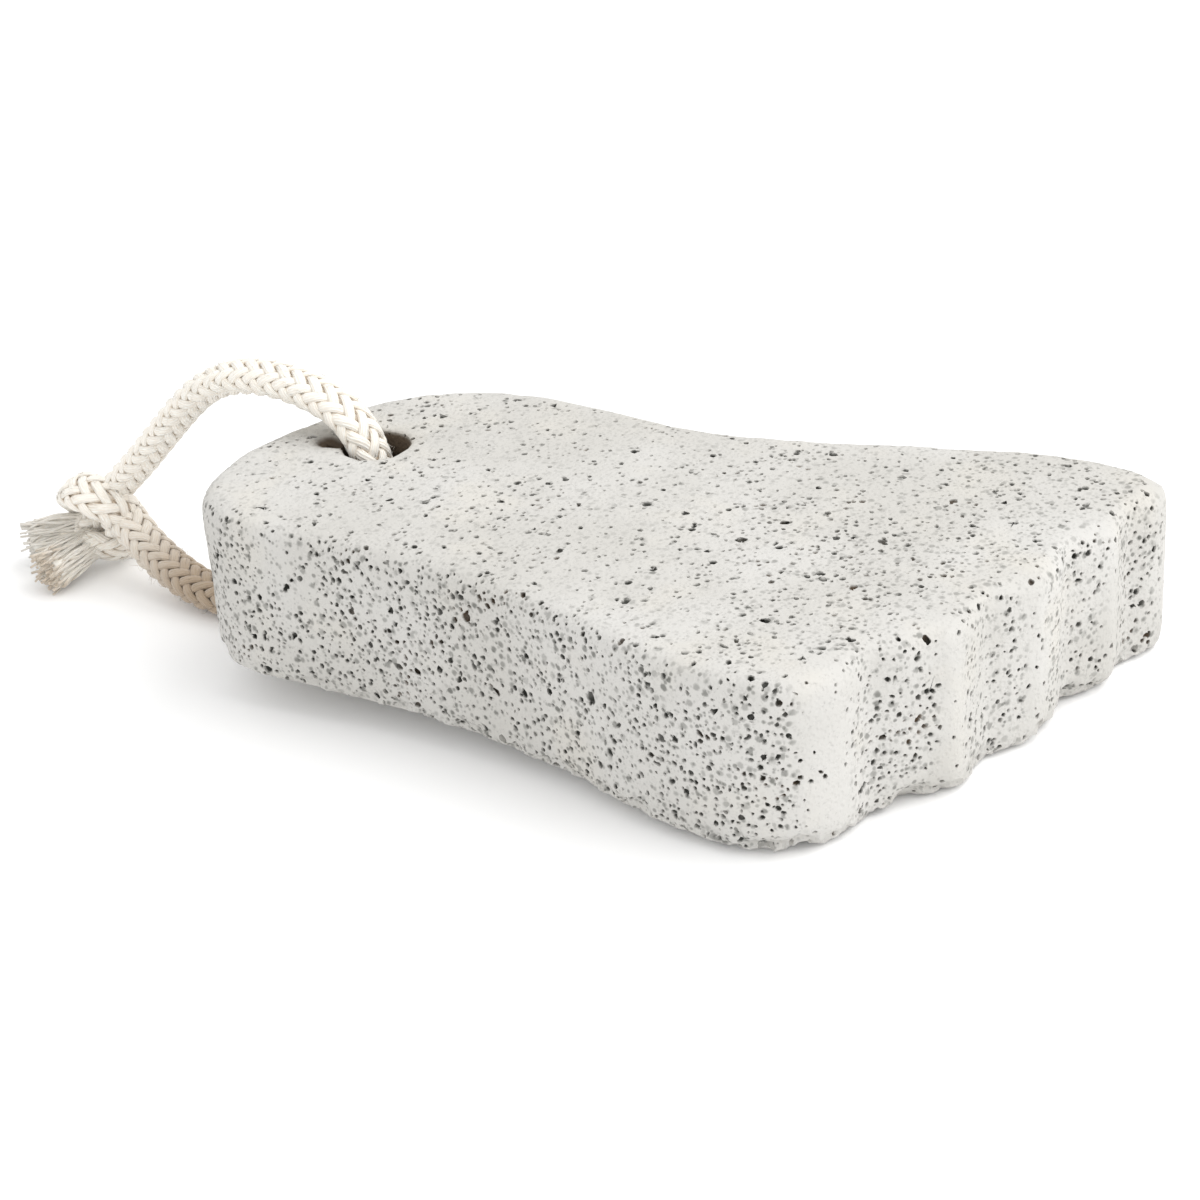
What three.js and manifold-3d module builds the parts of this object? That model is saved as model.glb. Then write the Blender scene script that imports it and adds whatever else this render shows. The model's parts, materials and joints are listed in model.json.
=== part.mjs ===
// Foot-shaped pumice stone on a loop of braided cotton cord.
// Millimetres. +X runs from the heel to the toes, +Z is up, and the floor is z = 0.
// The stone lies flat with its heel propped on the cord, which passes down through the
// drilled hole, under the heel and back to the overhand knot that closes the loop.

import * as THREE from 'three';
import { mergeVertices } from 'three/addons/utils/BufferGeometryUtils.js';
import Module from 'manifold-3d';

const wasm = await Module();
wasm.setup();

// Stone
const STONE_THICKNESS = 20;
const TOP_EDGE_ROUND = 1.8;
const SOLE_EDGE_ROUND = 1.0;
const OUTLINE_STEPS = 170;

// Hole through the heel, worn wider where the cord bends round its lower rim
const HOLE_RADIUS = 4.3;
const HOLE_CENTRE = new THREE.Vector2(-36.3, 2.2);
const HOLE_TOP_WEAR = 0.25;
const HOLE_SOLE_WEAR = 1.5;
const HOLE_SIDES = 36;

// The heel is lifted by turning the stone about the line along its toe tips.
const HEEL_LIFT_DEG = 3.4;
const TOE_LINE_DEG = 74;
// The lower edge of the toes is rubbed flat by this much where the stone stands on it.
const TOE_WEAR = 0.2;

// Cord: a tubular braid pressed flat
const CORD_WIDTH = 5.8;
const CORD_THICKNESS = 4.2;
const CORD_SIDES = 12;
const CORD_STEPS = 60;
const GAP = 0.3;

// Foot outline seen from above, from the heel along the near edge, round the five toes
// and back along the far edge.
const FOOT_OUTLINE = [
  // heel and near edge
  [-43.6, -19.6], [-34.3, -20.7], [-25.6, -20.6], [-15.0, -21.1], [-4.1, -22.7],
  [5.1, -24.9], [14.0, -27.6], [21.9, -29.1], [28.4, -29.1], [32.8, -27.3],
  // toes, from the smallest to the largest, each crest followed by its valley
  [35.3, -23.7], [36.4, -18.0], [39.4, -13.9],
  [42.2, -9.5], [42.6, -4.1],
  [44.8, 1.1], [46.2, 5.6], [46.1, 10.2],
  [48.2, 15.6], [48.5, 20.6],
  [50.2, 25.8], [48.2, 29.4],
  // far edge and waist
  [42.2, 31.0], [32.4, 30.1], [22.4, 27.4], [10.4, 23.9], [-0.6, 21.5],
  [-12.6, 21.6], [-23.6, 22.3], [-32.6, 20.9], [-40.1, 16.1],
  // back of the heel
  [-45.6, 8.8], [-49.2, 0.2], [-50.1, -8.2], [-48.3, -15.5],
];

// Hollows broken out of the stone's edges: plan position, height, radius.
const CHIPS = [
  { at: [-41.7, 0.8, 20.3], radius: 1.3 },
  { at: [33.2, -27.2, -0.1], radius: 1.6 },
  { at: [39.0, -14.6, -0.9], radius: 2.2 },
  { at: [46.2, 10.4, -0.3], radius: 1.4 },
];

// Centre line of the cord from the knot over the heel, down the hole and back under it.
const CORD_ROUTE = [
  [-80.4, 5.2, 11.3], [-76.3, 4.9, 14.9], [-72.9, 4.6, 18.0], [-69.5, 4.3, 21.2],
  [-66.0, 4.0, 24.4], [-62.4, 3.6, 27.2], [-58.6, 3.3, 29.1], [-54.7, 2.9, 30.2],
  [-50.9, 2.6, 30.5], [-47.3, 2.3, 30.2], [-44.0, 2.0, 29.5], [-41.1, 1.8, 28.4],
  [-39.1, 1.6, 27.0], [-37.6, 1.5, 24.9], [-36.7, 1.4, 22.4], [-36.1, 1.4, 19.6],
  [-35.4, 1.4, 16.2], [-34.9, 1.4, 13.0], [-34.7, 1.4, 10.3], [-35.5, 1.3, 7.2],
  [-37.3, 1.2, 4.7], [-40.0, 1.0, 3.0], [-43.6, 0.6, 2.25], [-48.0, -0.1, 2.2],
  [-52.6, -1.0, 2.2], [-57.0, -1.6, 2.2], [-61.2, -1.6, 2.3], [-64.9, -0.9, 2.7],
  [-68.4, 0.1, 3.4], [-71.8, 1.2, 4.4], [-75.2, 2.4, 5.8], [-78.5, 3.7, 7.6],
];

const KNOT_CENTRE = new THREE.Vector3(-84.4, 5.4, 5.8);
const KNOT_RADII = new THREE.Vector3(5.6, 5.0, 6.2);
const WRAP_RADIUS = 3.8;
const WRAP_CORD_RADIUS = 2.1;

// Each tail is a short free end that leaves the knot and spreads where it frays.
const TAILS = [
  { name: 'rope_tail_1', from: [-84.8, 2.6, 3.8], to: [-86.0, -4.8, 2.9] },
  { name: 'rope_tail_2', from: [-86.6, 4.6, 4.9], to: [-93.6, 1.8, 3.3] },
];
const TAIL_NECK_RADIUS = 2.1;
const TAIL_FRAY_RADIUS = 2.9;

const pumice = new THREE.MeshStandardMaterial({
  name: 'pumice', color: 0xe4e2dc, roughness: 0.95, metalness: 0,
});
const cotton = new THREE.MeshStandardMaterial({
  name: 'cotton_cord', color: 0xe6dcc8, roughness: 0.9, metalness: 0,
});

function toSolid(geometry) {
  const bare = geometry.clone();
  bare.deleteAttribute('normal');
  bare.deleteAttribute('uv');
  const welded = mergeVertices(bare, 1e-4);
  const mesh = new wasm.Mesh({
    numProp: 3,
    vertProperties: Float32Array.from(welded.attributes.position.array),
    triVerts: Uint32Array.from(welded.index.array),
  });
  return new wasm.Manifold(mesh);
}

function toGeometry(solid) {
  const mesh = solid.getMesh();
  const geometry = new THREE.BufferGeometry();
  geometry.setAttribute('position', new THREE.BufferAttribute(mesh.vertProperties, 3));
  geometry.setIndex(new THREE.BufferAttribute(mesh.triVerts, 1));
  geometry.computeVertexNormals();
  return geometry;
}

function footShape() {
  const corners = FOOT_OUTLINE.map(([x, y]) => new THREE.Vector3(x, y, 0));
  const curve = new THREE.CatmullRomCurve3(corners, true, 'centripetal');
  const points = curve.getSpacedPoints(OUTLINE_STEPS).slice(0, -1);
  return new THREE.Shape(points.map((p) => new THREE.Vector2(p.x, p.y)));
}

function roundedSlab(shape, height, round) {
  const slab = new THREE.ExtrudeGeometry(shape, {
    depth: height - 2 * round,
    bevelEnabled: true,
    bevelThickness: round,
    bevelSize: round,
    bevelOffset: -round,
    bevelSegments: 4,
    curveSegments: 1,
  });
  slab.translate(0, 0, round);
  return toSolid(slab);
}

function wornRim(profile, height, wear, outward) {
  for (let i = 0; i <= 4; i += 1) {
    const angle = ((outward ? i : 4 - i) / 4) * (Math.PI / 2);
    profile.push(new THREE.Vector2(
      HOLE_RADIUS + wear * (1 - Math.cos(angle)),
      height + (outward ? 1 : -1) * wear * (Math.sin(angle) - 1),
    ));
  }
}

function holeCutter() {
  const profile = [new THREE.Vector2(0, -1)];
  profile.push(new THREE.Vector2(HOLE_RADIUS + HOLE_SOLE_WEAR, -1));
  wornRim(profile, 0, HOLE_SOLE_WEAR, false);
  wornRim(profile, STONE_THICKNESS, HOLE_TOP_WEAR, true);
  profile.push(new THREE.Vector2(HOLE_RADIUS + HOLE_TOP_WEAR, STONE_THICKNESS + 1));
  profile.push(new THREE.Vector2(0, STONE_THICKNESS + 1));
  const drill = new THREE.LatheGeometry(profile, HOLE_SIDES);
  drill.rotateX(Math.PI / 2);
  drill.translate(HOLE_CENTRE.x, HOLE_CENTRE.y, 0);
  return toSolid(drill);
}

function stoneGeometry() {
  const foot = footShape();
  // The lower slab brings its tighter rounding to the sole, inside the full-height one.
  let solid = roundedSlab(foot, STONE_THICKNESS, TOP_EDGE_ROUND);
  solid = solid.add(roundedSlab(foot, STONE_THICKNESS / 2, SOLE_EDGE_ROUND));
  solid = solid.subtract(holeCutter());
  for (const chip of CHIPS) {
    const ball = new THREE.IcosahedronGeometry(chip.radius, 2);
    ball.translate(...chip.at);
    solid = solid.subtract(toSolid(ball));
  }
  const up = new THREE.Vector3(0, 0, 1).applyQuaternion(heelLift().invert());
  const corners = toGeometry(solid).attributes.position;
  let lowest = Infinity;
  for (let i = 0; i < corners.count; i += 1) {
    lowest = Math.min(lowest, new THREE.Vector3().fromBufferAttribute(corners, i).dot(up));
  }
  return toGeometry(solid.trimByPlane([up.x, up.y, up.z], lowest + TOE_WEAR));
}

function heelLift() {
  const toeLine = THREE.MathUtils.degToRad(TOE_LINE_DEG);
  const axis = new THREE.Vector3(Math.cos(toeLine), Math.sin(toeLine), 0);
  return new THREE.Quaternion().setFromAxisAngle(
    axis,
    THREE.MathUtils.degToRad(HEEL_LIFT_DEG),
  );
}

function placeStone(stone) {
  stone.quaternion.copy(heelLift());
  stone.updateMatrixWorld();
  const box = new THREE.Box3().setFromObject(stone, true);
  const centre = box.getCenter(new THREE.Vector3());
  stone.position.set(-centre.x, -centre.y, TOE_WEAR - box.min.z);
}

function ovalShape(width, thickness, sides) {
  const points = [];
  for (let i = 0; i < sides; i += 1) {
    const angle = ((i + 0.5) / sides) * Math.PI * 2;
    points.push(new THREE.Vector2(
      (width / 2) * Math.cos(angle),
      (thickness / 2) * Math.sin(angle),
    ));
  }
  return new THREE.Shape(points);
}

function knotSolid(grow) {
  const core = new THREE.SphereGeometry(1, 28, 18);
  core.scale(KNOT_RADII.x + grow, KNOT_RADII.y + grow, KNOT_RADII.z + grow);
  core.rotateY(0.5);
  const wrap = new THREE.TorusGeometry(WRAP_RADIUS, WRAP_CORD_RADIUS + grow, 14, 28);
  wrap.rotateY(0.5);
  wrap.translate(0.3, 0, 1.6);
  const knot = toSolid(core).add(toSolid(wrap)).translate(
    [KNOT_CENTRE.x, KNOT_CENTRE.y, KNOT_CENTRE.z],
  );
  // The soft knot is pressed flat where it lies on the floor.
  return knot.trimByPlane([0, 0, 1], 0);
}

function cordGeometry() {
  const route = new THREE.CatmullRomCurve3(
    CORD_ROUTE.map((p) => new THREE.Vector3(...p)),
    false,
    'centripetal',
  );
  const tube = new THREE.ExtrudeGeometry(ovalShape(CORD_WIDTH, CORD_THICKNESS, CORD_SIDES), {
    steps: CORD_STEPS,
    extrudePath: route,
    curveSegments: 1,
  });
  return toGeometry(toSolid(tube).subtract(knotSolid(GAP)));
}

function tailGeometry({ from, to }) {
  const start = new THREE.Vector3(...from);
  const end = new THREE.Vector3(...to);
  const along = end.clone().sub(start);
  const length = along.length();
  const profile = [
    new THREE.Vector2(0, 0),
    new THREE.Vector2(TAIL_NECK_RADIUS, 0),
    new THREE.Vector2(TAIL_NECK_RADIUS, length * 0.45),
    new THREE.Vector2(TAIL_FRAY_RADIUS, length * 0.85),
    new THREE.Vector2(TAIL_FRAY_RADIUS - 0.5, length),
    new THREE.Vector2(0, length),
  ];
  const tail = new THREE.LatheGeometry(profile, 16);
  const up = new THREE.Vector3(0, 1, 0);
  tail.applyQuaternion(new THREE.Quaternion().setFromUnitVectors(up, along.normalize()));
  tail.translate(start.x, start.y, start.z);
  return toSolid(tail).subtract(knotSolid(GAP));
}

function addMesh(group, name, geometry, material) {
  const mesh = new THREE.Mesh(geometry, material);
  mesh.name = name;
  group.add(mesh);
  return mesh;
}

const pumiceStone = new THREE.Group();
pumiceStone.name = 'pumice_stone_on_cord';

placeStone(addMesh(pumiceStone, 'pumice_stone', stoneGeometry(), pumice));
addMesh(pumiceStone, 'rope_loop', cordGeometry(), cotton);
addMesh(pumiceStone, 'rope_knot', toGeometry(knotSolid(0)), cotton);
for (const tail of TAILS) {
  addMesh(pumiceStone, tail.name, toGeometry(tailGeometry(tail)), cotton);
}

export default pumiceStone;
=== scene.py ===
"""A foot-shaped pumice stone on a loop of flat braided cotton cord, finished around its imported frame.

The stone is worn and chipped from its frame solid, and gas bubbles are then cut out of it in three sizes.
The cord is a tubular braid of sixteen cotton strands, with its knot and its two frayed tails.
"""

import json
import math

import bpy
import numpy as np
from mathutils import Matrix, Vector
from mathutils.bvhtree import BVHTree


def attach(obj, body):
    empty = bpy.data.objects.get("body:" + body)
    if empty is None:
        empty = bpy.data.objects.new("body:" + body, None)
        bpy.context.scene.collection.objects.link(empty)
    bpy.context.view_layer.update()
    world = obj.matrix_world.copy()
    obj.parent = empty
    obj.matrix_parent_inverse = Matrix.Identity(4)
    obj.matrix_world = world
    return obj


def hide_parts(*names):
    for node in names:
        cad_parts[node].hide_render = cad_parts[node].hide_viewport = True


bl_info = {
    "name": "Pumice Foot Stone",
    "version": (1, 0, 0),
    "blender": (4, 5, 0),
    "location": "3D View > Sidebar > Foot Stone",
    "description": "Makes a pumice foot stone on its braided cotton cord, with its studio",
    "category": "Add Mesh",
}

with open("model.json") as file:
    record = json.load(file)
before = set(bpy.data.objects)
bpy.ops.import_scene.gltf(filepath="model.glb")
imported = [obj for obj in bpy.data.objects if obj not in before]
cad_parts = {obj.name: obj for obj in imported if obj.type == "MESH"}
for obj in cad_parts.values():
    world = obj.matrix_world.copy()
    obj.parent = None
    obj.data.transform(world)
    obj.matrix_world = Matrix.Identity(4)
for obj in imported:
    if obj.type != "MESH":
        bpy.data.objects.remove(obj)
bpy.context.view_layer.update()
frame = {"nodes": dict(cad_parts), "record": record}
MM = 0.001

# The stone's own upward direction, and a point of its sole: the heel stands on the cord.
FACES = {mount["name"]: mount for mount in frame["record"]["mounts"]}
TOP_AXIS = np.array(FACES["scrub_face"]["axis"], float)
SOLE_POINT = np.array(FACES["sole_face"]["pos_m"], float)

# The toes' crests, in plan, and how wide a band of each is rubbed smooth, and the creases between them.
TOE_CRESTS = ((34.0, -25.2, 3.6), (41.4, -11.4, 2.0), (45.0, 1.8, 1.7), (48.0, 15.4, 1.4), (49.8, 26.2, 1.2))
TOE_CREASES = ((36.6, -19.2), (43.0, -4.2), (46.5, 9.0), (49.0, 20.6))
STONE_THICKNESS = 20.0 * MM
HOLE_MIDDLE = MM * np.array((-36.2, 1.3, 14.6))
# The pit beside the hole's upper rim, in plan, and how wide it is.
RIM_PIT = (-41.2, -0.3)
RIM_PIT_WIDTH = 1.35
# Bits broken out of the sole's edge at the toes, in plan.
NOTCHES = ((32.7, -27.9), (38.5, -15.3), (45.7, 9.7))

# How crowded the bubbles are on the top and on the sole, next to the sides.
TOP_SHARE = 0.42
SOLE_SHARE = 0.26

# The cord's route, from the knot over the heel, down the hole and back under the stone.
CORD_ROUTE = (
    (-80.4, 5.2, 11.3), (-76.3, 4.9, 14.9), (-72.9, 4.6, 18.0), (-69.5, 4.3, 21.2),
    (-66.0, 4.0, 24.4), (-62.4, 3.6, 27.2), (-58.6, 3.3, 29.1), (-54.7, 2.9, 30.2),
    (-50.9, 2.6, 30.5), (-47.3, 2.3, 30.2), (-44.0, 2.0, 29.5), (-41.1, 1.8, 28.4),
    (-39.1, 1.6, 27.0), (-37.6, 1.5, 24.9), (-36.7, 1.4, 22.4), (-36.1, 1.4, 19.6),
    (-35.4, 1.4, 16.2), (-34.9, 1.4, 13.0), (-34.7, 1.4, 10.3), (-35.5, 1.3, 7.2),
    (-37.3, 1.2, 4.7), (-40.0, 1.0, 3.0), (-43.6, 0.6, 2.25), (-48.0, -0.1, 2.2),
    (-52.6, -1.0, 2.2), (-57.0, -1.6, 2.2), (-61.2, -1.6, 2.3), (-64.9, -0.9, 2.7),
    (-68.4, 0.1, 3.4), (-71.8, 1.2, 4.4), (-75.2, 2.4, 5.8), (-78.5, 3.7, 7.6),
)
ROUTE = [tuple(MM * value for value in point) for point in CORD_ROUTE]
KNOT_CENTRE = (-84.4, 5.4, 5.8)
# One end of the cord wraps over and round the other, and tucks in under itself.
KNOT_WRAP = (
    (-78.8, 2.5, 9.9), (-80.7, 1.5, 11.4), (-83.6, 1.9, 11.8), (-86.5, 4.0, 10.6),
    (-87.9, 7.0, 8.0), (-86.3, 9.2, 5.8), (-83.2, 9.4, 4.4), (-81.0, 7.2, 3.4),
    (-81.6, 4.4, 3.1), (-83.6, 3.1, 3.6), (-84.9, 2.4, 3.7),
)
KNOT_MIDDLE = ((-82.4, 5.4, 9.0), (-84.2, 5.4, 7.0), (-85.6, 5.0, 5.6), (-87.0, 4.5, 4.8))
TAILS = (
    ((-84.8, 2.6, 3.8), (-86.0, -4.8, 2.9)),
    ((-86.6, 4.6, 4.9), (-93.6, 1.8, 3.3)),
)
TAIL_NECK = 2.1
TAIL_FRAY = 2.7
TAIL_YARNS = 170
# How soiled the loose end of each tail is.
TAIL_SOIL = (0.7, 0.0)
# Width and thickness of the cord where it is pulled tight in the knot: the wrap, and inside it.
WRAP_CORD = (0.0058, 0.0032)
MIDDLE_CORD = (0.0050, 0.0040)

# Each lamp's name, place, size and share of the lamp power.
LAMPS = (
    ("Large Soft Lamp", (0.56, 0.22, 0.72), 0.9, 1.0),
    ("Small Front Lamp", (0.45, -0.75, 0.55), 0.5, 0.12),
)
CAMERA_PLACE = (0.1500, -0.2411, 0.1497)
# The directions to the camera's right and behind it.
CAMERA_RIGHT = (0.8603, 0.4995, -0.1017)
CAMERA_BACK = (0.4895, -0.7538, 0.4384)

# Families of dark specks in the stone's faces, painted as the shade in pores too small to cut: how fine,
# smallest size, spread of sizes and strength.
SPECKS = (
    (620.0, -0.12, 0.43, 0.85),
    (950.0, 0.14, 0.31, 1.0),
    (1500.0, 0.07, 0.37, 1.0),
)


class StoneSettings(bpy.types.PropertyGroup):
    """How the pumice is worn, how its bubbles lie and what colour it is."""

    grain_step: bpy.props.FloatProperty(
        name="Grain Step", description="Spacing of the stone's surface points before it is worn",
        default=0.0008, min=0.0005, max=0.002, unit="LENGTH")
    wear: bpy.props.FloatProperty(
        name="Wear", description="How far the worn faces swell and sink",
        default=0.0005, min=0.0, max=0.002, unit="LENGTH")
    edge_loss: bpy.props.FloatProperty(
        name="Edge Loss", description="How far the sole's edge is crumbled away",
        default=0.0011, min=0.0, max=0.003, unit="LENGTH")
    crowding: bpy.props.FloatProperty(
        name="Bubble Crowding", description="Share of the usual number of bubbles",
        default=1.0, min=0.1, max=1.5)
    stone_colour: bpy.props.FloatVectorProperty(
        name="Stone Colour", description="Colour of the rubbed stone",
        default=(0.638, 0.627, 0.601), min=0.0, max=1.0, subtype="COLOR")
    # Painted shade: the colour deep down in the bubbles stands in for the shade inside them.
    bubble_shade_colour: bpy.props.FloatVectorProperty(
        name="Bubble Shade Colour", description="Colour deep inside the bubbles",
        default=(0.055, 0.057, 0.050), min=0.0, max=1.0, subtype="COLOR")


class CordSettings(bpy.types.PropertyGroup):
    """The size, braid and colour of the cotton cord."""

    width: bpy.props.FloatProperty(
        name="Width", description="Width of the flat cord",
        default=0.0058, min=0.003, max=0.009, unit="LENGTH")
    thickness: bpy.props.FloatProperty(
        name="Thickness", description="Thickness of the flat cord",
        default=0.0042, min=0.002, max=0.007, unit="LENGTH")
    lay: bpy.props.FloatProperty(
        name="Lay", description="Length in which a strand goes once round the cord",
        default=0.018, min=0.008, max=0.04, unit="LENGTH")
    strands: bpy.props.IntProperty(
        name="Strands", description="Number of braided strands, a multiple of four",
        default=16, min=8, max=24)
    fuzz: bpy.props.IntProperty(
        name="Fuzz", description="Number of loose cotton fibres on the cord", default=700, min=0, max=3000)
    cotton_colour: bpy.props.FloatVectorProperty(
        name="Cotton Colour", description="Colour of the strands' outer faces",
        default=(0.96, 0.905, 0.83), min=0.0, max=1.0, subtype="COLOR")
    # Painted shade: the colour down between the strands and between the yarns.
    crease_shade_colour: bpy.props.FloatVectorProperty(
        name="Crease Shade Colour", description="Colour between the strands",
        default=(0.80, 0.68, 0.54), min=0.0, max=1.0, subtype="COLOR")
    # Stain and painted shadow: the colour of the cord where it lies low under the heel.
    stain_and_shadow_colour: bpy.props.FloatVectorProperty(
        name="Stain And Shadow Colour", description="Colour of the cord where it lies under the heel",
        default=(0.335, 0.232, 0.138), min=0.0, max=1.0, subtype="COLOR")


class StudioSettings(bpy.types.PropertyGroup):
    """The plain floor, the soft light and the camera."""

    floor_colour: bpy.props.FloatVectorProperty(
        name="Floor Colour", description="Colour of the plain floor",
        default=(0.98, 0.98, 0.98), min=0.0, max=1.0, subtype="COLOR")
    floor_glow: bpy.props.FloatProperty(
        name="Floor Glow", description="Light that comes through the floor from below",
        default=0.03, min=0.0, max=1.0)
    room_light: bpy.props.FloatProperty(
        name="Room Light", description="Strength of the even light from all round",
        default=0.93, min=0.0, max=5.0)
    lamp_power: bpy.props.FloatProperty(
        name="Lamp Power", description="Power of the large soft lamp",
        default=5.6, min=0.0, max=100.0, unit="POWER")
    lens: bpy.props.FloatProperty(
        name="Lens", description="Focal length of the camera, in millimetres",
        default=85.0, min=20.0, max=300.0)


class Value:
    """A node's socket, so that maths on values reads as plain expressions."""

    def __init__(self, nodes, socket):
        self.nodes = nodes
        self.socket = socket

    def __getitem__(self, name):
        return Value(self.nodes, self.socket.node.outputs[name])

    def _maths(self, operation, *values):
        return self.nodes.make("ShaderNodeMath", {"operation": operation}, dict(enumerate(values)))

    def __add__(self, other):
        return self._maths("ADD", self, other)

    __radd__ = __add__

    def __sub__(self, other):
        return self._maths("SUBTRACT", self, other)

    def __rsub__(self, other):
        return self._maths("SUBTRACT", other, self)

    def __mul__(self, other):
        return self._maths("MULTIPLY", self, other)

    __rmul__ = __mul__

    def __truediv__(self, other):
        return self._maths("DIVIDE", self, other)

    def __rtruediv__(self, other):
        return self._maths("DIVIDE", other, self)

    def __pow__(self, other):
        return self._maths("POWER", self, other)

    def sine(self):
        return self._maths("SINE", self)

    def between(self, low, high):
        """0 below low, 1 above high and an even curve from one to the other."""
        choices = {"interpolation_type": "SMOOTHSTEP"}
        inputs = {"Value": self, "From Min": low, "From Max": high}
        return self.nodes.make("ShaderNodeMapRange", choices, inputs)


class Nodes:
    """Adds nodes to a tree, each with its choices set before its inputs."""

    def __init__(self, tree):
        self.tree = tree

    def make(self, kind, choices=None, inputs=None, output=0):
        node = self.tree.nodes.new(kind)
        for name, choice in (choices or {}).items():
            setattr(node, name, choice)
        for name, value in (inputs or {}).items():
            if isinstance(value, Value):
                self.tree.links.new(value.socket, node.inputs[name])
            else:
                node.inputs[name].default_value = value
        return Value(self, node.outputs[output]) if len(node.outputs) else node

    def noise(self, place, scale, detail=2.0, roughness=0.5, output="Factor"):
        inputs = {"Vector": place, "Scale": scale, "Detail": detail, "Roughness": roughness}
        made = self.make("ShaderNodeTexNoise", {"noise_dimensions": "3D"}, inputs)
        return made["Color"] if output == "Color" else made

    def vector(self, operation, *values, **named):
        inputs = dict(enumerate(values))
        inputs.update(named)
        return self.make("ShaderNodeVectorMath", {"operation": operation}, inputs)

    def blend(self, share, first, second):
        """The colour first where share is 0, and second where it is 1."""
        inputs = {0: share, 6: (*first, 1.0) if isinstance(first, tuple) else first,
                  7: (*second, 1.0) if isinstance(second, tuple) else second}
        return self.make("ShaderNodeMix", {"data_type": "RGBA"}, inputs, 2)


def new_material(name):
    material = bpy.data.materials.new(name)
    material.use_nodes = True
    material.node_tree.nodes.clear()
    return material, Nodes(material.node_tree)


def finish_material(nodes, colour, roughness, normal, **steady):
    """Ends a material in one shader. The steady values are set on the shader's own sockets."""
    inputs = {"Base Color": colour, "Roughness": roughness, "Normal": normal}
    inputs.update({name.replace("_", " "): value for name, value in steady.items()})
    shader = nodes.make("ShaderNodeBsdfPrincipled", None, inputs)
    nodes.make("ShaderNodeOutputMaterial", None, {"Surface": shader})


def pumice_material(settings):
    """Off-white stone with a fine grain and small specks.

    Shade is painted dark down in the bubbles, a little rusty in some of them, and brown down in the drilled
    hole and the pit beside its rim.
    """
    material, nodes = new_material("Worn Pumice")
    place = nodes.make("ShaderNodeTexCoord")["Object"]
    depth = nodes.make("ShaderNodeAttribute", {"attribute_name": "bubble_depth"})["Fac"]
    clouds = nodes.noise(place, 45.0, 3.0)
    stone = tuple(settings.stone_colour)
    shade = tuple(value * tint for value, tint in zip(stone, (0.90, 0.895, 0.88)))
    warm = tuple(value * tint for value, tint in zip(stone, (1.02, 1.0, 0.955)))
    face = nodes.blend(clouds.between(0.35, 0.68), shade, stone)
    face = nodes.blend(nodes.noise(place, 110.0, 2.0).between(0.5, 0.8) * 0.7, face, warm)
    grains = nodes.noise(place, 2300.0, 3.0, 0.6)
    face = nodes.blend(grains.between(0.58, 0.72) * 0.38, face, tuple(value * 0.55 for value in stone))
    crowd = nodes.make("ShaderNodeAttribute", {"attribute_name": "bubble_crowding"})["Fac"].between(0.1, 0.9)
    ragged = nodes.noise(place, 2400.0, 2.0)
    # Painted shade: dark specks for pores too small to cut, more of them where bubbles crowd.
    for scale, least, size, strength in SPECKS:
        cells = nodes.make("ShaderNodeTexVoronoi", {"feature": "F1"}, {"Vector": place, "Scale": scale})
        chance = nodes.make("ShaderNodeSeparateXYZ", None, {"Vector": cells["Color"]})
        rim = chance["X"] * size + least + (ragged - 0.5) * 0.32
        spot = 1.0 - (cells["Distance"] - rim).between(-0.20, 0.09)
        face = nodes.blend(spot * crowd * (chance["Y"] * 0.55 + 0.26) * strength, face, (0.11, 0.112, 0.10))
    # Painted shade: the bubbles are painted darker the deeper they go below the rubbed face, near black, or
    # a rusty brown in some of them, and the strength varies a little from place to place.
    bubble = tuple(settings.bubble_shade_colour)
    rust = nodes.noise(place, 170.0, 1.0).between(0.56, 0.70)
    inside = nodes.blend(rust * 0.8, bubble, (0.115, 0.075, 0.045))
    gloom = nodes.noise(place, 620.0, 1.0).between(0.36, 0.60) * 0.25 + 0.75
    colour = nodes.blend(depth.between(0.00002, 0.00028) * gloom, face, inside)
    # Painted shade: brown-dark down in the drilled hole and in the pit beside its rim.
    bore = nodes.make("ShaderNodeAttribute", {"attribute_name": "hole_depth"})["Fac"]
    colour = nodes.blend(bore.between(-0.0001, 0.0008) * 0.96, colour, (0.078, 0.052, 0.031))
    grain = nodes.noise(place, 1500.0, 4.0, 0.65)
    pits = nodes.make("ShaderNodeTexVoronoi", {"feature": "F1"}, {"Vector": place, "Scale": 1700.0})
    height = grain * 0.7 + pits["Distance"].between(0.1, 0.55) * 0.5 + nodes.noise(place, 420.0, 2.0) * 0.8
    bump = nodes.make("ShaderNodeBump", None, {"Strength": 0.55, "Distance": 0.00022, "Height": height})
    finish_material(nodes, colour, 0.93 - grain * 0.08, bump, Specular_IOR_Level=0.22)
    return material


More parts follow.
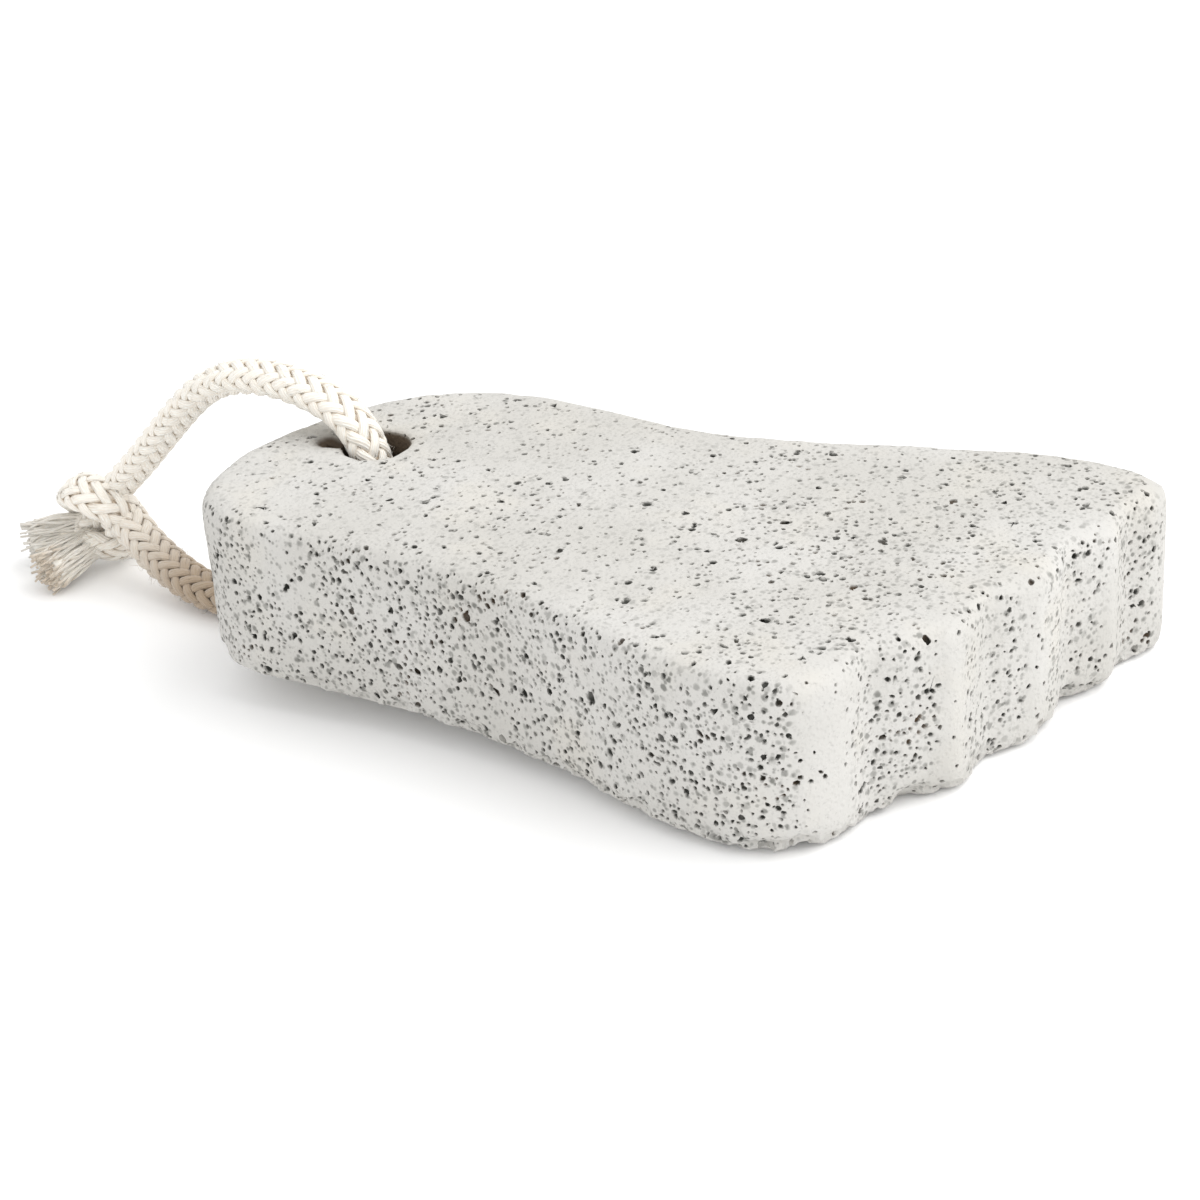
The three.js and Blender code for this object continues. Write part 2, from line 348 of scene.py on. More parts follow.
def cotton_material(settings):
    """Undyed cotton. Fine yarns run along each strand, and shade is painted tan down between the strands and
    between the yarns.
    """
    material, nodes = new_material("Braided Cotton")
    place = nodes.make("ShaderNodeTexCoord")["Object"]
    strand = nodes.make("ShaderNodeUVMap", {"uv_map": "strand"})
    parts = nodes.make("ShaderNodeSeparateXYZ", None, {"Vector": strand})
    along, round_it = parts["X"], parts["Y"]
    shade_and_soil = nodes.make("ShaderNodeAttribute", {"attribute_name": "shade_and_soil"})["Fac"]
    stretch = nodes.make("ShaderNodeCombineXYZ", None, {"X": along * 1.4, "Y": round_it * 22.0, "Z": shade_and_soil})
    fibres = nodes.noise(stretch, 1.0, 4.0, 0.6)
    yarns = (round_it * 62.8 + along * 2.2).sine() * 0.5 + 0.5
    cotton = tuple(settings.cotton_colour)
    pale = tuple(min(1.0, value * tint) for value, tint in zip(cotton, (1.09, 1.11, 1.15)))
    dull = tuple(value * tint for value, tint in zip(cotton, (0.92, 0.90, 0.86)))
    face = nodes.blend(fibres.between(0.3, 0.7), dull, pale)
    face = nodes.blend(nodes.noise(place, 260.0, 2.0).between(0.4, 0.7) * 0.45, face, cotton)
    # Painted shade: darker lines between the yarns.
    face = nodes.blend(yarns.between(0.0, 0.35) * -0.22 + 0.22, face, tuple(settings.crease_shade_colour))
    # Painted shade down between the strands, in the cord's core and inside the tails; at a tail's loose end
    # this is soil.
    colour = nodes.blend(shade_and_soil.between(0.30, 0.85) * 0.92, face, tuple(settings.crease_shade_colour))
    # Stain and painted shadow: the cord is darker tan where it lies low under the heel, and darker still
    # down between its strands there.
    spot = nodes.make("ShaderNodeSeparateXYZ", None, {"Vector": place})
    low = 1.0 - spot["Z"].between(0.005, 0.0150)
    stain_and_shadow = low * spot["X"].between(-0.085, -0.063)
    colour = nodes.blend(stain_and_shadow * 0.85, colour, tuple(settings.stain_and_shadow_colour))
    deep = tuple(value * 0.55 for value in settings.stain_and_shadow_colour)
    colour = nodes.blend(stain_and_shadow * shade_and_soil.between(0.35, 0.9) * 0.85, colour, deep)
    height = yarns * 0.6 + fibres * 0.7
    bump = nodes.make("ShaderNodeBump", None, {"Strength": 0.7, "Distance": 0.00012, "Height": height})
    finish_material(nodes, colour, 0.95 - fibres * 0.1, bump,
                    Specular_IOR_Level=0.2, Sheen_Weight=0.35, Sheen_Roughness=0.5)
    return material


def floor_material(settings):
    """A matt floor with the faintest unevenness."""
    material, nodes = new_material("Plain Floor")
    place = nodes.make("ShaderNodeTexCoord")["Object"]
    bump = nodes.make("ShaderNodeBump", None, {
        "Strength": 0.05, "Distance": 0.0002, "Height": nodes.noise(place, 400.0)})
    finish_material(nodes, (*settings.floor_colour, 1.0), 0.9, bump, Specular_IOR_Level=0.1,
                    Emission_Color=(1.0, 1.0, 1.0, 1.0), Emission_Strength=settings.floor_glow)
    return material


def only(thing):
    """Selects this object alone, and makes it the active one."""
    bpy.ops.object.select_all(action="DESELECT")
    thing.select_set(True)
    bpy.context.view_layer.objects.active = thing


def new_piece(name, mesh):
    piece = bpy.data.objects.new(name, mesh)
    bpy.context.collection.objects.link(piece)
    only(piece)
    return piece


def apply_step(piece, kind, name, **choices):
    """Adds a modifier to the piece, sets it and applies it."""
    only(piece)
    step = piece.modifiers.new(name, kind)
    for choice, value in choices.items():
        setattr(step, choice, value)
    bpy.ops.object.modifier_apply(modifier=step.name)


def points_of(mesh, what="co"):
    values = np.zeros(len(mesh.vertices) * 3, np.float32)
    source = mesh.vertices if what == "co" else mesh.vertex_normals
    source.foreach_get("co" if what == "co" else "vector", values)
    return values.reshape(-1, 3).astype(float)


def write_marks(mesh, name, values):
    """Keeps one number for each point of the mesh, under this name."""
    if name in mesh.attributes:
        mesh.attributes.remove(mesh.attributes[name])
    marks = mesh.attributes.new(name, "FLOAT", "POINT")
    marks.data.foreach_set("value", np.asarray(values, np.float32))


def ease(values, low, high):
    share = np.clip((values - low) / (high - low), 0.0, 1.0)
    return share * share * (3 - 2 * share)


def hole_distance(places):
    """How far each point lies from the middle line of the stone's hole."""
    away = places - HOLE_MIDDLE
    return np.linalg.norm(away - np.outer(away @ TOP_AXIS, TOP_AXIS), axis=1)


def rim_pit(places):
    """1 in the middle of the pit beside the hole's rim, and 0 outside it."""
    away = np.hypot(places[:, 0] - RIM_PIT[0] * MM, places[:, 1] - RIM_PIT[1] * MM) / MM
    upper = (places - SOLE_POINT) @ TOP_AXIS > 0.75 * STONE_THICKNESS
    return np.exp(-((away / RIM_PIT_WIDTH) ** 2)) * upper


def mark_stone(stone):
    """Marks where bubbles crowd, how far the faces stand out, and where the sole's edge has crumbled."""
    mesh = stone.data
    places = points_of(mesh)
    facing = points_of(mesh, "normal") @ TOP_AXIS
    level = ease(np.abs(facing), 0.55, 0.92)
    share = np.where(facing > 0.0, TOP_SHARE, SOLE_SHARE)
    height = (places - SOLE_POINT) @ TOP_AXIS
    share = share * (0.9 + 0.45 * ease(places[:, 0], 0.0, 40.0 * MM))
    crowd = 1.0 - (1.0 - share) * level
    crowd *= 1.0 - 0.30 * ease(points_of(mesh, "normal")[:, 0], 0.3, 0.8)
    for x, y, width in TOE_CRESTS:
        away = np.hypot(places[:, 0] - x * MM, places[:, 1] - y * MM) / MM
        crowd *= 1.0 - 0.88 * np.exp(-((away / width) ** 4))
    hole = hole_distance(places) / MM
    crowd *= 1.0 - 0.75 * np.exp(-((hole / 5.0) ** 4))
    write_marks(mesh, "bubble_crowding", crowd)
    relief = np.zeros(len(places))
    for spots, swell in ((TOE_CRESTS[1:], 0.6), (TOE_CREASES, -0.6)):
        for x, y, *_ in spots:
            near = np.hypot(places[:, 0] - x * MM, places[:, 1] - y * MM) / MM
            relief += swell * MM * np.exp(-((near / 1.7) ** 2))
    relief += 0.25 * MM * (1.0 - ease(hole, 5.4, 6.8)) * ease(height, 2.0 * MM, 5.0 * MM)
    relief *= 1.0 - level
    for x, y in NOTCHES:
        near = np.hypot(places[:, 0] - x * MM, places[:, 1] - y * MM) / MM
        relief -= 1.5 * MM * np.exp(-((near / 1.6) ** 2)) * (1.0 - ease(height, 0.8 * MM, 3.2 * MM))
    relief -= 0.6 * MM * rim_pit(places)
    write_marks(mesh, "relief", relief)
    edge = (1.0 - ease(height, 0.8 * MM, 2.6 * MM)) * (1.0 - ease(-facing, 0.8, 0.97))
    edge *= np.where(hole < 7.0, 0.0, 1.0)
    write_marks(mesh, "sole_edge", edge)


def wear_nodes(wear, edge_loss):
    """Swells and sinks the faces a little, rubs them in a finer grain, and crumbles the sole's edge."""
    tree = bpy.data.node_groups.new("Worn Faces", "GeometryNodeTree")
    tree.interface.new_socket(name="Geometry", in_out="INPUT", socket_type="NodeSocketGeometry")
    tree.interface.new_socket(name="Geometry", in_out="OUTPUT", socket_type="NodeSocketGeometry")
    nodes = Nodes(tree)
    place = nodes.make("GeometryNodeInputPosition")
    normal = nodes.make("GeometryNodeInputNormal")
    edge = nodes.make("GeometryNodeInputNamedAttribute", {"data_type": "FLOAT"}, {"Name": "sole_edge"})
    swell = (nodes.noise(place, 95.0, 2.0) - 0.5) * wear
    rubbed = (nodes.noise(place, 420.0, 2.0) - 0.5) * (0.55 * wear)
    crumbs = nodes.noise(place, 330.0, 3.0, 0.6).between(0.42, 0.66) * edge * edge_loss
    crumbs = crumbs + nodes.noise(place, 120.0, 1.0).between(0.5, 0.75) * edge * (0.8 * edge_loss)
    relief = nodes.make("GeometryNodeInputNamedAttribute", {"data_type": "FLOAT"}, {"Name": "relief"})
    push = nodes.vector("SCALE", normal, Scale=swell + rubbed + relief - crumbs)
    # The hole's upper rim is drawn in a little, so that it stays crisp.
    away = nodes.vector("SUBTRACT", place, tuple(HOLE_MIDDLE))
    up = nodes.vector("DOT_PRODUCT", away, tuple(TOP_AXIS))["Value"]
    out = nodes.vector("SUBTRACT", away, nodes.vector("SCALE", tuple(TOP_AXIS), Scale=up))
    reach = nodes.vector("LENGTH", out)["Value"]
    draw = reach.between(0.0040, 0.0052) * (1.0 - reach.between(0.0053, 0.0066)) * up.between(0.002, 0.006)
    pull = nodes.vector("SCALE", nodes.vector("NORMALIZE", out), Scale=draw * -0.0007)
    moved = nodes.make("GeometryNodeSetPosition", None, {
        "Geometry": nodes.make("NodeGroupInput"), "Offset": nodes.vector("ADD", push, pull)})
    nodes.make("NodeGroupOutput", None, {0: moved})
    return tree


def bubble_nodes(name, mark, gap, crowd, small, large, rounds, sunk, seed):
    """Scatters lumpy bubbles over the stone, between the two radii given, and cuts them out of it.

    They stand at least gap apart, at most crowd of them to a square millimetre, and their centres
    lie below the surface by the share sunk of their radius.
    """
    tree = bpy.data.node_groups.new(name, "GeometryNodeTree")
    tree.interface.new_socket(name="Geometry", in_out="INPUT", socket_type="NodeSocketGeometry")
    tree.interface.new_socket(name="Geometry", in_out="OUTPUT", socket_type="NodeSocketGeometry")
    nodes = Nodes(tree)
    stone = nodes.make("NodeGroupInput")
    place = nodes.make("GeometryNodeInputPosition")
    share = nodes.make("GeometryNodeInputNamedAttribute", {"data_type": "FLOAT"}, {"Name": mark})
    clumps = nodes.noise(place, 160.0, 1.0).between(0.3, 0.6) * 0.6 + 0.4
    points = nodes.make("GeometryNodeDistributePointsOnFaces", {"distribute_method": "POISSON"}, {
        "Mesh": stone, "Distance Min": gap * MM, "Density Max": crowd / MM ** 2,
        "Density Factor": share * clumps, "Seed": seed})
    chance = nodes.make("FunctionNodeRandomValue", {"data_type": "FLOAT"}, {"Seed": seed + 1}, 1)
    size = chance ** 2.0 * ((large - small) * MM) + small * MM
    sized = nodes.make("GeometryNodeStoreNamedAttribute", {"data_type": "FLOAT", "domain": "POINT"}, {
        "Geometry": points, "Name": "bubble_size", "Value": size})
    stretch = nodes.make("FunctionNodeRandomValue", {"data_type": "FLOAT_VECTOR"}, {
        0: (0.72, 0.72, 0.7), 1: (1.15, 1.15, 1.7), "Seed": seed + 2})
    kept = nodes.make("GeometryNodeInputNamedAttribute", {"data_type": "FLOAT"}, {"Name": "bubble_size"})
    if rounds:
        ball = nodes.make("GeometryNodeMeshIcoSphere", None, {"Radius": 1.0, "Subdivisions": rounds})
    else:
        cone = nodes.make("GeometryNodeMeshCone", None, {
            "Vertices": 6, "Radius Top": 1.3, "Radius Bottom": 0.0, "Depth": 1.9})
        ball = nodes.make("GeometryNodeTransform", None, {"Geometry": cone, "Translation": (0.0, 0.0, -1.1)})
    bubbles = nodes.make("GeometryNodeInstanceOnPoints", None, {
        "Points": sized, "Instance": ball, "Rotation": points["Rotation"],
        "Scale": nodes.vector("SCALE", stretch, Scale=kept)})
    turn = nodes.make("FunctionNodeRandomValue", {"data_type": "FLOAT_VECTOR"}, {
        0: (-0.35, -0.35, 0.0), 1: (0.35, 0.35, math.tau), "Seed": seed + 3})
    bubbles = nodes.make("GeometryNodeRotateInstances", None, {"Instances": bubbles, "Rotation": turn})
    down = nodes.make("ShaderNodeCombineXYZ", None, {"Z": kept * -sunk})
    bubbles = nodes.make("GeometryNodeTranslateInstances", None, {"Instances": bubbles, "Translation": down})
    solid = nodes.make("GeometryNodeRealizeInstances", None, {"Geometry": bubbles})
    lumps = nodes.noise(nodes.vector("SCALE", place, Scale=1.0 / kept), 0.85, 1.0, output="Color")
    push = nodes.vector("SCALE", nodes.vector("SUBTRACT", lumps, (0.5, 0.5, 0.5)), Scale=kept * 1.3)
    solid = nodes.make("GeometryNodeSetPosition", None, {"Geometry": solid, "Offset": push})
    cut = nodes.make("GeometryNodeMeshBoolean", {"operation": "DIFFERENCE", "solver": "MANIFOLD"}, {
        "Mesh 1": stone, "Mesh 2": solid})
    nodes.make("NodeGroupOutput", None, {0: cut})
    return tree


def apply_nodes(piece, tree):
    apply_step(piece, "NODES", tree.name, node_group=tree)
    bpy.data.node_groups.remove(tree)


def mark_depth(stone, face):
    """Marks how deep each point of the cut stone lies below its rubbed face, and how far in the hole, for
    the shade painted in the bubbles, the hole and the pit beside its rim.
    """
    mesh = stone.data
    places = points_of(mesh)
    height = (places - SOLE_POINT) @ TOP_AXIS
    inside = np.minimum(height, STONE_THICKNESS - height)
    at_hole = hole_distance(places) < 5.6 * MM
    # Where shade is painted brown-dark: down in the hole, and in the pit beside its rim.
    write_marks(mesh, "hole_depth", np.where(at_hole, inside, 1.5 * MM * rim_pit(places)))
    skin = BVHTree.FromObject(face, bpy.context.evaluated_depsgraph_get())
    write_marks(mesh, "bubble_depth", [skin.find_nearest(point.co)[3] for point in mesh.vertices])


class FOOTSTONE_OT_stone(bpy.types.Operator):
    """Wear the stone's solid, crumble its sole's edge and cut its gas bubbles"""

    bl_idname = "foot_stone.stone"
    bl_label = "Make Pumice Stone"

    def execute(self, context):
        settings = context.scene.stone_settings
        stone = new_piece("pumice_stone_worn", frame["nodes"]["pumice_stone"].data.copy())
        bpy.ops.object.mode_set(mode="EDIT")
        bpy.ops.mesh.select_all(action="SELECT")
        bpy.ops.mesh.remove_doubles(threshold=0.000002)
        bpy.ops.object.mode_set(mode="OBJECT")
        apply_step(stone, "REMESH", "Even Grain", mode="VOXEL", voxel_size=settings.grain_step)
        apply_step(stone, "SMOOTH", "Even Faces", factor=0.5, iterations=2)
        mark_stone(stone)
        apply_nodes(stone, wear_nodes(settings.wear, settings.edge_loss))
        apply_step(stone, "DECIMATE", "Fewer Faces", ratio=0.30)
        mark_stone(stone)
        apply_nodes(stone, bubble_nodes("Edge Chips", "sole_edge", 2.4, 0.10, 0.5, 1.3, 2, -0.35, 5))
        face = new_piece("rubbed_face", stone.data.copy())
        share = settings.crowding
        mark_stone(stone)
        apply_nodes(stone, bubble_nodes(
            "Large Bubbles", "bubble_crowding", 1.8, 0.020 * share, 0.42, 0.66, 2, 0.30, 11))
        mark_stone(stone)
        apply_nodes(stone, bubble_nodes(
            "Middling Bubbles", "bubble_crowding", 1.15, 0.14 * share, 0.32, 0.48, 1, 0.25, 23))
        mark_stone(stone)
        apply_nodes(stone, bubble_nodes(
            "Small Bubbles", "bubble_crowding", 0.62, 1.50 * share, 0.29, 0.54, 0, 0.0, 37))
        mark_stone(stone)
        mark_depth(stone, face)
        bpy.data.objects.remove(face)
        only(stone)
        bpy.ops.object.shade_smooth_by_angle(angle=math.radians(38.0))
        stone.data.materials.clear()
        stone.data.materials.append(pumice_material(settings))
        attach(stone, "root")
        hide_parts("pumice_stone")
        return {"FINISHED"}


def unit(vectors):
    return vectors / np.maximum(np.linalg.norm(vectors, axis=-1, keepdims=True), 1e-12)


def smooth_route(points, step):
    """An even row of points along the smooth curve through the given ones, in metres."""
    knots = np.array(points, float)
    knots = np.vstack([2 * knots[0] - knots[1], knots, 2 * knots[-1] - knots[-2]])
    share = np.linspace(0.0, 1.0, 24, endpoint=False)[:, None]
    curve = []
    for a, b, c, d in zip(knots, knots[1:], knots[2:], knots[3:]):
        curve.append(0.5 * (2 * b + (c - a) * share + (2 * a - 5 * b + 4 * c - d) * share ** 2
                            + (3 * b - a - 3 * c + d) * share ** 3))
    curve = np.vstack(curve + [knots[-2:-1]])
    gone = np.concatenate([[0.0], np.cumsum(np.linalg.norm(np.diff(curve, axis=0), axis=1))])
    even = np.linspace(0.0, gone[-1], max(4, int(gone[-1] / step) + 1))
    return np.stack([np.interp(even, gone, curve[:, axis]) for axis in range(3)], axis=1)


class Draft:
    """Gathers closed tubes into one mesh, with each corner's place along and round its strand."""

    def __init__(self):
        self.points = []
        self.faces = []
        self.places = []
        self.creases = []
        self.count = 0

    def tube(self, rings, along, shade_and_soil):
        length, sides = rings.shape[:2]
        number = self.count + np.arange(length * sides).reshape(length, sides)
        turned = np.roll(number, -1, axis=1)
        quads = np.stack([number[:-1], turned[:-1], turned[1:], number[1:]], axis=-1).reshape(-1, 4)
        first, second = (np.repeat(part[:, None], sides, axis=1) for part in (along[:-1], along[1:]))
        left = np.broadcast_to(np.arange(sides) / sides, first.shape)
        right = left + 1.0 / sides
        pairs = ((first, left), (first, right), (second, right), (second, left))
        corners = [np.stack(pair, axis=-1) for pair in pairs]
        self.faces += quads.tolist()
        self.places.append(np.stack(corners, axis=2).reshape(-1, 2))
        for ring, at in ((number[0][::-1], along[0]), (number[-1], along[-1])):
            self.faces.append(ring.tolist())
            self.places.append(np.stack([np.full(sides, at), np.arange(sides) / sides], axis=1))
        self.points.append(rings.reshape(-1, 3))
        self.creases.append(np.broadcast_to(shade_and_soil, (length, sides)).reshape(-1))
        self.count += length * sides

    def piece(self, name):
        mesh = bpy.data.meshes.new(name)
        mesh.from_pydata(np.vstack(self.points).tolist(), [], self.faces)
        layer = mesh.uv_layers.new(name="strand")
        layer.data.foreach_set("uv", np.vstack(self.places).astype(np.float32).reshape(-1))
        write_marks(mesh, "shade_and_soil", np.concatenate(self.creases))
        made = new_piece(name, mesh)
        bpy.ops.object.shade_smooth()
        return made


def rings_round(centres, tangents, ups, half_width, half_height, sides):
    """Rings of an oval tube. Half width and half height are one number, or one for each centre."""
    turns = np.arange(sides) * math.tau / sides
    across = unit(np.cross(ups, tangents))
    ups = np.cross(tangents, across)
    wide = np.broadcast_to(half_width, len(centres))[:, None, None] * np.cos(turns)[None, :, None]
    high = np.broadcast_to(half_height, len(centres))[:, None, None] * np.sin(turns)[None, :, None]
    return centres[:, None, :] + wide * across[:, None, :] + high * ups[:, None, :]


def braid(draft, route, hint, width, thickness, lay, strands, step, start=0.0):
    """Flat strands plaited two over two round an oval cord, on a plain core.

    hint is the direction, or one for each point, that the cord's width lies along.
    """
    line = smooth_route(route, step)
    tangent = unit(np.gradient(line, axis=0))
    hint = np.broadcast_to(hint, line.shape) if np.ndim(hint) == 1 else hint(line)
    side = unit(hint - (hint * tangent).sum(axis=1, keepdims=True) * tangent)
    up = np.cross(tangent, side)
    gone = np.arange(len(line)) * np.linalg.norm(line[1] - line[0])
    strand_high = 0.088 * thickness
    rise = 0.078 * thickness
    half_wide = width / 2 - strand_high - rise
    half_high = thickness / 2 - strand_high - rise
    way_round = math.pi * (half_wide + half_high)
    slant = math.atan(way_round / lay)
    strand_wide = 0.55 * way_round * math.cos(slant) / (strands / 2)
    columns = strands // 4
    for way in (1, -1):
        for number in range(strands // 2):
            turn = start + way * math.tau * gone / lay + math.tau * number / (strands / 2)
            wave = way * np.tanh(1.7 * np.cos(columns * turn - math.pi / 4)) / math.tanh(1.7)
            outward = unit(np.cos(turn)[:, None] * side / half_wide + np.sin(turn)[:, None] * up / half_high)
            centre = (line + half_wide * np.cos(turn)[:, None] * side
                      + half_high * np.sin(turn)[:, None] * up + rise * wave[:, None] * outward)
            ahead = unit(np.gradient(centre, axis=0))
            rings = rings_round(centre, ahead, outward, strand_wide, strand_high, 8)
            over = rise * wave[:, None] + strand_high * np.sin(np.arange(8) * math.tau / 8)[None, :]
            edge = np.abs(np.cos(np.arange(8) * math.tau / 8))[None, :]
            # Painted shade: more where the strand dips under its neighbours and at its edges.
            shade_and_soil = 0.5 - 0.5 * over / (rise + strand_high) + 0.22 * edge
            draft.tube(rings, gone / MM + 3.7 * number, shade_and_soil)
    # The hidden core is painted fully in shade.
    core = rings_round(line, tangent, up, half_wide * 0.9, half_high * 0.9, 16)[::2]
    draft.tube(core, gone[::2] / MM, 1.0)


def loose_fibres(draft, route, width, thickness, number, seed):
    """Short curled cotton fibres that stand out of the braid."""
    chance = np.random.default_rng(seed)
    line = smooth_route(route, 0.0005)
    tangent = unit(np.gradient(line, axis=0))
    side = unit(np.cross(tangent, np.array([0.02, 0.03, 1.0])))
    up = np.cross(side, tangent)
    share = np.linspace(0.0, 1.0, 5)[:, None]
    for _ in range(number):
        at = chance.integers(2, len(line) - 2)
        turn = chance.uniform(0.0, math.tau)
        out = math.cos(turn) * side[at] + math.sin(turn) * up[at]
        base = line[at] + 0.42 * (math.cos(turn) * width * side[at] + math.sin(turn) * thickness * up[at])
        length = chance.uniform(0.7, 2.2) * MM
        lean = unit(tangent[at] * chance.choice((-1.0, 1.0)) + chance.normal(0.0, 0.35, 3))
        curl = np.sin(share * chance.uniform(1.5, 4.0)) * chance.normal(0.0, 0.22, 3) * MM
        path = base + share * length * (0.75 * lean + chance.uniform(0.15, 0.7) * out) + curl
        path[:, 2] = np.maximum(path[:, 2], 0.1 * MM)
        fine = 0.000026 * (1.0 - 0.6 * share[:, 0])
        ahead = unit(np.gradient(path, axis=0))
        rings = rings_round(path, ahead, np.broadcast_to(out, path.shape), fine, fine, 3)
        draft.tube(rings, share[:, 0] * length / MM, 0.15)


def lead_in(points, target, reach):
    """The route with one more point at its end, a little way towards the target."""
    end = np.array(points[-1], float)
    return list(points) + [tuple(end + unit(np.array(target, float) * MM - end) * reach)]


class FOOTSTONE_OT_cord(bpy.types.Operator):
    """Braid the cord from the knot through the stone's hole and back"""

    bl_idname = "foot_stone.cord"
    bl_label = "Make Braided Cord"

    def execute(self, context):
        settings = context.scene.cord_settings
        draft = Draft()
        route = lead_in(ROUTE, KNOT_CENTRE, 0.0022)
        route = lead_in(route[::-1], KNOT_CENTRE, 0.0022)[::-1]
        width, thickness = settings.width, settings.thickness
        across = np.array([0.0, 1.0, 0.0])
        braid(draft, route, across, width, thickness, settings.lay, settings.strands, 0.00045)
        loose_fibres(draft, ROUTE, width, thickness, settings.fuzz, 3)
        cord = draft.piece("braided_cord")
        cord.data.materials.append(cotton_material(settings))
        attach(cord, "root")
        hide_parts("rope_loop")
        return {"FINISHED"}


class FOOTSTONE_OT_knot(bpy.types.Operator):
    """Tie the knot: one turn of the cord wrapped tight round its two ends"""

    bl_idname = "foot_stone.knot"
    bl_label = "Make Knot"

    def execute(self, context):
        settings = context.scene.cord_settings
        draft = Draft()
        centre = np.array(KNOT_CENTRE) * MM

        def flat_on_knot(line):
            return np.cross(unit(line - centre), unit(np.gradient(line, axis=0)))

        wrap = [ROUTE[-1]] + [tuple(MM * value for value in point) for point in KNOT_WRAP]
        braid(draft, wrap, flat_on_knot, *WRAP_CORD, settings.lay, settings.strands, 0.0004)
        middle = [ROUTE[0]] + [tuple(MM * value for value in point) for point in KNOT_MIDDLE]
        across = np.array([0.0, 1.0, 0.0])
        braid(draft, middle, across, *MIDDLE_CORD, settings.lay, settings.strands, 0.0004)
        loose_fibres(draft, wrap, 0.0052, 0.0040, settings.fuzz // 3, 17)
        knot = draft.piece("cord_knot")
        knot.data.materials.append(cotton_material(settings))
        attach(knot, "root")
        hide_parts("rope_knot")
        return {"FINISHED"}


def frayed_tail(draft, start, end, yarns, soiled, seed):
    """A bundle of unlaid cotton yarns that spreads from its neck to its loose end, and is soiled there."""
    chance = np.random.default_rng(seed)
    start, end = np.array(start) * MM, np.array(end) * MM
    forward = unit(end - start)
    side = unit(np.cross(forward, np.array([0.0, 0.0, 1.0])))
    up = np.cross(side, forward)
    share = np.linspace(0.0, 1.0, 9)[:, None]
    middle = start + (end - start) * share * 0.9
    wide = 0.86 * MM * (TAIL_NECK + (TAIL_FRAY - TAIL_NECK) * share[:, 0] ** 1.3)
    ahead = unit(np.gradient(middle, axis=0))
    draft.tube(rings_round(middle, ahead, up, wide, wide * 0.8, 12), share[:, 0], 0.2)
    for _ in range(yarns):
        turn = chance.uniform(0.0, math.tau)
        reach = math.sqrt(chance.uniform(0.0, 1.0))
        out = math.cos(turn) * side + math.sin(turn) * up
        spread = (TAIL_NECK + (TAIL_FRAY - TAIL_NECK) * share ** 1.3) * reach * MM
        wander = np.sin(share * chance.uniform(2.0, 6.0) + chance.uniform(0.0, 6.0, 3)) * 0.55 * MM * share
        reached = share * chance.uniform(0.8, 1.06)
        path = start - forward * 0.0012 + (end - start + forward * 0.0012) * reached
        path = path + out * spread + wander
        path[:, 2] = np.maximum(path[:, 2], 0.3 * MM)
        thick = chance.uniform(0.17, 0.29) * MM * (1.0 - 0.25 * share[:, 0] ** 3)
        ahead = unit(np.gradient(path, axis=0))
        rings = rings_round(path, ahead, np.broadcast_to(out, path.shape), thick, thick, 5)
        # Painted shade on the inner yarns, more on some than others, and soil at the loose end.
        shade_and_soil = chance.uniform(0.0, 0.25) * (1.2 - reach) + soiled * share ** 3
        draft.tube(rings, share[:, 0] * 8.0 + chance.uniform(0.0, 9.0), shade_and_soil)


class FOOTSTONE_OT_tails(bpy.types.Operator):
    """Fray the cord's two ends past the knot"""

    bl_idname = "foot_stone.tails"
    bl_label = "Make Frayed Tails"

    def execute(self, context):
        settings = context.scene.cord_settings
        for number, (start, end) in enumerate(TAILS, 1):
            draft = Draft()
            frayed_tail(draft, start, end, TAIL_YARNS, TAIL_SOIL[number - 1], 40 + number)
            tail = draft.piece(f"frayed_tail_{number}")
            tail.data.materials.append(cotton_material(settings))
            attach(tail, "root")
            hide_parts(f"rope_tail_{number}")
        return {"FINISHED"}


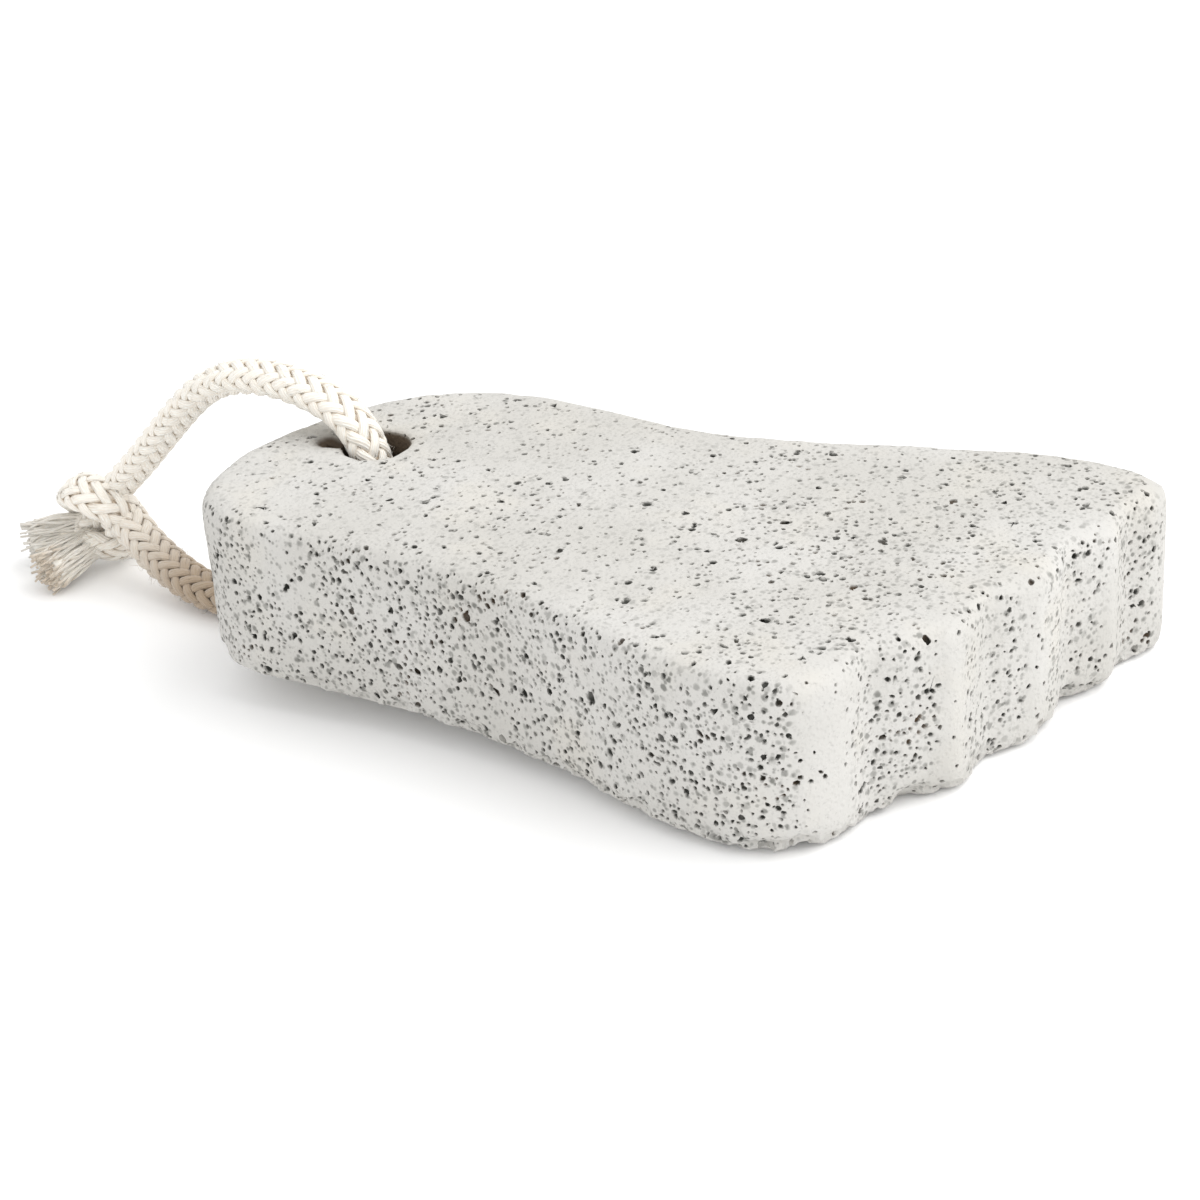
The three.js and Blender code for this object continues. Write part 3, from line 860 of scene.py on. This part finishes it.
class FOOTSTONE_OT_stage(bpy.types.Operator):
    """Set the plain floor, the soft light and the camera"""

    bl_idname = "foot_stone.stage"
    bl_label = "Set Studio"

    def execute(self, context):
        settings = context.scene.studio_settings
        bpy.ops.object.select_all(action="DESELECT")
        bpy.ops.mesh.primitive_plane_add(size=6.0, location=(0.0, 0.0, 0.0))
        floor = context.object
        floor.name = "studio_floor"
        floor.data.materials.append(floor_material(settings))
        world = context.scene.world or bpy.data.worlds.new("Even Room")
        context.scene.world = world
        world.use_nodes = True
        world.node_tree.nodes.clear()
        nodes = Nodes(world.node_tree)
        light = nodes.make("ShaderNodeBackground", None, {
            "Color": (1.0, 1.0, 1.0, 1.0), "Strength": settings.room_light})
        nodes.make("ShaderNodeOutputWorld", None, {"Surface": light})
        for name, place, size, share in LAMPS:
            bpy.ops.object.light_add(type="AREA", location=place)
            lamp = context.object
            lamp.name = name
            lamp.data.size = size
            lamp.data.energy = settings.lamp_power * share
            lamp.rotation_mode = "QUATERNION"
            lamp.rotation_quaternion = (-Vector(place)).to_track_quat("-Z", "Y")
        bpy.ops.object.camera_add(location=CAMERA_PLACE)
        camera = context.object
        camera.name = "studio_camera"
        right = Vector(CAMERA_RIGHT).normalized()
        back = Vector(CAMERA_BACK)
        back = (back - back.dot(right) * right).normalized()
        above = back.cross(right)
        camera.rotation_mode = "QUATERNION"
        camera.rotation_quaternion = Matrix((right, above, back)).transposed().to_quaternion()
        camera.data.lens = settings.lens
        camera.data.sensor_width = 36.0
        camera.data.clip_start = 0.01
        camera.data.clip_end = 20.0
        camera.data.dof.use_dof = False
        context.scene.camera = camera
        context.scene.view_settings.view_transform = "Standard"
        return {"FINISHED"}


class FOOTSTONE_PT_panel(bpy.types.Panel):
    """Lists the foot stone's settings and its operators."""

    bl_idname = "FOOTSTONE_PT_panel"
    bl_label = "Foot Stone"
    bl_space_type = "VIEW_3D"
    bl_region_type = "UI"
    bl_category = "Foot Stone"

    def draw(self, context):
        layout = self.layout
        for name in SETTINGS:
            settings = getattr(context.scene, name)
            box = layout.box()
            for value in settings.bl_rna.properties:
                if value.identifier not in ("rna_type", "name"):
                    box.prop(settings, value.identifier)
        for operator in OPERATORS:
            layout.operator(operator.bl_idname)


SETTINGS = {
    "stone_settings": StoneSettings,
    "cord_settings": CordSettings,
    "studio_settings": StudioSettings,
}
OPERATORS = (
    FOOTSTONE_OT_stage, FOOTSTONE_OT_cord, FOOTSTONE_OT_knot, FOOTSTONE_OT_tails, FOOTSTONE_OT_stone,
)


def register():
    for kind in (*SETTINGS.values(), *OPERATORS, FOOTSTONE_PT_panel):
        bpy.utils.register_class(kind)
    for name, kind in SETTINGS.items():
        setattr(bpy.types.Scene, name, bpy.props.PointerProperty(type=kind))


def unregister():
    for name in SETTINGS:
        delattr(bpy.types.Scene, name)
    for kind in (FOOTSTONE_PT_panel, *reversed(OPERATORS), *reversed(tuple(SETTINGS.values()))):
        bpy.utils.unregister_class(kind)


def declare_cord():
    """Works out the cord's smooth line from knot to knot, and does nothing more with it."""
    line = smooth_route(ROUTE, 0.0005)


def main():
    register()
    bpy.ops.foot_stone.stage()
    bpy.ops.foot_stone.cord()
    bpy.ops.foot_stone.knot()
    bpy.ops.foot_stone.tails()
    bpy.ops.foot_stone.stone()
    declare_cord()


if __name__ == "__main__":
    main()
